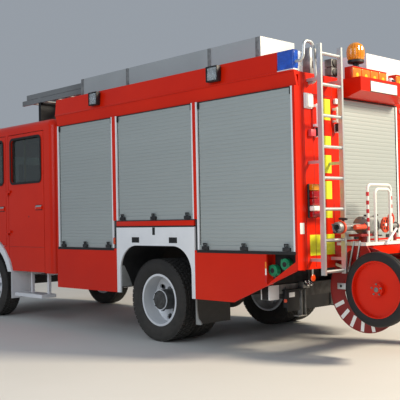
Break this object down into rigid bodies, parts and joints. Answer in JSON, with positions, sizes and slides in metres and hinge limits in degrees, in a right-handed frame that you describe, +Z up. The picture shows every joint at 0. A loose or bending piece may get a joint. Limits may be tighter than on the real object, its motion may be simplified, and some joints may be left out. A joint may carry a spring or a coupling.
{
  "type": "fire engine",
  "caption": "Red and white municipal fire engine with crew cab, roller shutter lockers, roof ladder box, rear ladder and a hose reel trolley hung on the rear.",
  "frame": {"origin": "on the ground under the middle of the overall length and width", "axes": "+X forward, +Y to the left of the vehicle, +Z up"},
  "size_m": [8.237, 2.85, 3.2849],
  "materials": {
    "black_plastic": "matte",
    "black_steel": "satin",
    "blue_glass": "gloss",
    "cap_green": "satin",
    "clear_glass": "clear",
    "dark_red_paint": "gloss",
    "grey_steel": "satin",
    "ladder_aluminium": "satin",
    "lamp_plastic": "gloss",
    "red_paint": "gloss",
    "seat_fabric": "woven",
    "shutter_aluminium": "satin",
    "tyre_rubber": "matte",
    "wheel_silver": "satin",
    "white_paint": "gloss"
  },
  "bodies": {
    "vehicle": {"access_ladder": "ladder_aluminium", "arch_liners": "black_plastic", "arch_panels": "white_paint", "axles": "black_steel", "body_floor": "grey_steel", "body_partitions": "grey_steel", "body_rear_wall": "red_paint", "body_roof": "red_paint", "cab_floor_and_back": "grey_steel", "cab_front": "red_paint", "cab_roof": "red_paint", "cab_seats": "seat_fabric", "cab_side_frames": "red_paint", "chassis_frame": "black_steel", "dashboard": "black_plastic", "engine_and_shaft": "black_steel", "extension_ladder": "black_steel", "front_bumper": "white_paint", "front_mudguards": "white_paint", "grille": "black_plastic", "inlet_caps": "cap_green", "ladder_box": "ladder_aluminium", "lamps": "lamp_plastic", "lower_side_panels": "red_paint", "mirrors": "black_plastic", "plate_housing": "red_paint", "reel_equipment": "ladder_aluminium", "reel_frame": "white_paint", "roller_shutters": "shutter_aluminium", "roof_locker": "white_paint", "shutter_guides": "white_paint", "underrun_and_coupling": "grey_steel", "warning_lamps": "blue_glass", "windscreen": "clear_glass"},
    "knuckle_left": {"knuckle_left": "black_steel"},
    "knuckle_right": {"knuckle_right": "black_steel"},
    "front_wheel_left": {"front_rim_left": "wheel_silver", "front_tyre_left": "tyre_rubber"},
    "front_wheel_right": {"front_rim_right": "wheel_silver", "front_tyre_right": "tyre_rubber"},
    "rear_wheels_left": {"rear_rims_left": "wheel_silver", "rear_tyres_left": "tyre_rubber"},
    "rear_wheels_right": {"rear_rims_right": "wheel_silver", "rear_tyres_right": "tyre_rubber"},
    "front_door_left": {"front_door_glass_left": "clear_glass", "front_door_left": "red_paint"},
    "front_door_right": {"front_door_glass_right": "clear_glass", "front_door_right": "red_paint"},
    "crew_door_left": {"crew_door_glass_left": "clear_glass", "crew_door_left": "red_paint"},
    "crew_door_right": {"crew_door_glass_right": "clear_glass", "crew_door_right": "red_paint"},
    "roof_locker_lid": {"roof_locker_lid": "white_paint"},
    "mast_tube": {"mast_tube": "ladder_aluminium"},
    "mast_head": {"mast_head": "black_steel"},
    "reel_drum": {"reel_drum": "dark_red_paint"},
    "reel_wheel_left": {"reel_tyre_left": "tyre_rubber", "reel_wheel_left": "red_paint"},
    "reel_wheel_right": {"reel_tyre_right": "tyre_rubber", "reel_wheel_right": "red_paint"}
  },
  "joints": [
    {"name": "steer_left", "type": "hinge", "parent": "vehicle", "child": "knuckle_left", "pos_m": [2.7885, 0.846, 0.4725], "axis": [0, 0, 1], "range_deg": [-35, 35]},
    {"name": "steer_right", "type": "hinge", "parent": "vehicle", "child": "knuckle_right", "pos_m": [2.7885, -0.846, 0.4725], "axis": [0, 0, 1], "range_deg": [-35, 35]},
    {"name": "front_wheel_left_spin", "type": "hinge", "parent": "knuckle_left", "child": "front_wheel_left", "pos_m": [2.7885, 1.025, 0.4725], "axis": [0, 1, 0], "continuous": true},
    {"name": "front_wheel_right_spin", "type": "hinge", "parent": "knuckle_right", "child": "front_wheel_right", "pos_m": [2.7885, -1.025, 0.4725], "axis": [0, 1, 0], "continuous": true},
    {"name": "rear_wheels_left_spin", "type": "hinge", "parent": "vehicle", "child": "rear_wheels_left", "pos_m": [-1.1315, 0.9245, 0.4725], "axis": [0, 1, 0], "continuous": true},
    {"name": "rear_wheels_right_spin", "type": "hinge", "parent": "vehicle", "child": "rear_wheels_right", "pos_m": [-1.1315, -0.9245, 0.4725], "axis": [0, 1, 0], "continuous": true},
    {"name": "front_door_left_hinge", "type": "hinge", "parent": "vehicle", "child": "front_door_left", "pos_m": [3.534, 1.188, 1.5], "axis": [0, 0, -1], "range_deg": [0, 75]},
    {"name": "crew_door_left_hinge", "type": "hinge", "parent": "vehicle", "child": "crew_door_left", "pos_m": [2.204, 1.188, 1.5], "axis": [0, 0, -1], "range_deg": [0, 75]},
    {"name": "front_door_right_hinge", "type": "hinge", "parent": "vehicle", "child": "front_door_right", "pos_m": [3.534, -1.188, 1.5], "axis": [0, 0, 1], "range_deg": [0, 75]},
    {"name": "crew_door_right_hinge", "type": "hinge", "parent": "vehicle", "child": "crew_door_right", "pos_m": [2.204, -1.188, 1.5], "axis": [0, 0, 1], "range_deg": [0, 75]},
    {"name": "roof_locker_lid_hinge", "type": "hinge", "parent": "vehicle", "child": "roof_locker_lid", "pos_m": [-2.0915, -1.065, 3.13], "axis": [1, 0, 0], "range_deg": [0, 80]},
    {"name": "mast_lift", "type": "slide", "parent": "vehicle", "child": "mast_tube", "axis": [0, 0, 1], "range_m": [0, 1.5]},
    {"name": "mast_head_turn", "type": "hinge", "parent": "mast_tube", "child": "mast_head", "pos_m": [-3.0015, 0.325, 2.85], "axis": [0, 0, 1], "range_deg": [-170, 170]},
    {"name": "reel_drum_spin", "type": "hinge", "parent": "vehicle", "child": "reel_drum", "pos_m": [-3.5415, 0, 0.665], "axis": [0, 1, 0], "continuous": true},
    {"name": "reel_wheel_left_spin", "type": "hinge", "parent": "vehicle", "child": "reel_wheel_left", "pos_m": [-3.7615, 0.7, 0.69], "axis": [0, 1, 0], "continuous": true},
    {"name": "reel_wheel_right_spin", "type": "hinge", "parent": "vehicle", "child": "reel_wheel_right", "pos_m": [-3.7615, -0.7, 0.69], "axis": [0, 1, 0], "continuous": true}
  ],
  "couplings": [
    {"joint": "steer_right", "follows": "steer_left", "ratio": 1}
  ]
}
